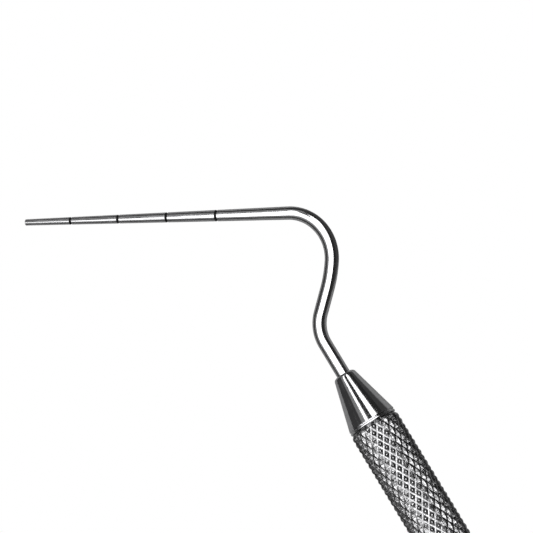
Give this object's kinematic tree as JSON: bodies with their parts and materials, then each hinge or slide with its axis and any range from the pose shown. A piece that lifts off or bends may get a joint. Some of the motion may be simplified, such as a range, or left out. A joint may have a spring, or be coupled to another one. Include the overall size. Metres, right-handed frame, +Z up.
{
  "type": "root canal plugger",
  "caption": "Slim double-ended dental hand instrument: knurled steel handle, cone at each end, bent tapered wire with depth rings and a flat tip.",
  "frame": {"origin": "under the middle of the handle, on the surface that the instrument lies on", "axes": "+X along the handle towards the front end with the thinner tip, +Y the way that the front tip is turned, +Z up; all bends lie in one plane parallel to XY"},
  "size_m": [0.1731, 0.0392, 0.0047],
  "materials": {
    "knurled_steel": "diamond knurled, bright crests, darker grooves",
    "polished_steel": "turned and mirror polished",
    "ground_steel": "drawn, ground and satin polished, with dark depth rings"
  },
  "bodies": {
    "root": {"handle_barrel": "knurled_steel", "front_cone": "polished_steel", "front_working_end": "ground_steel", "rear_cone": "polished_steel", "rear_working_end": "ground_steel"}
  },
  "joints": []
}
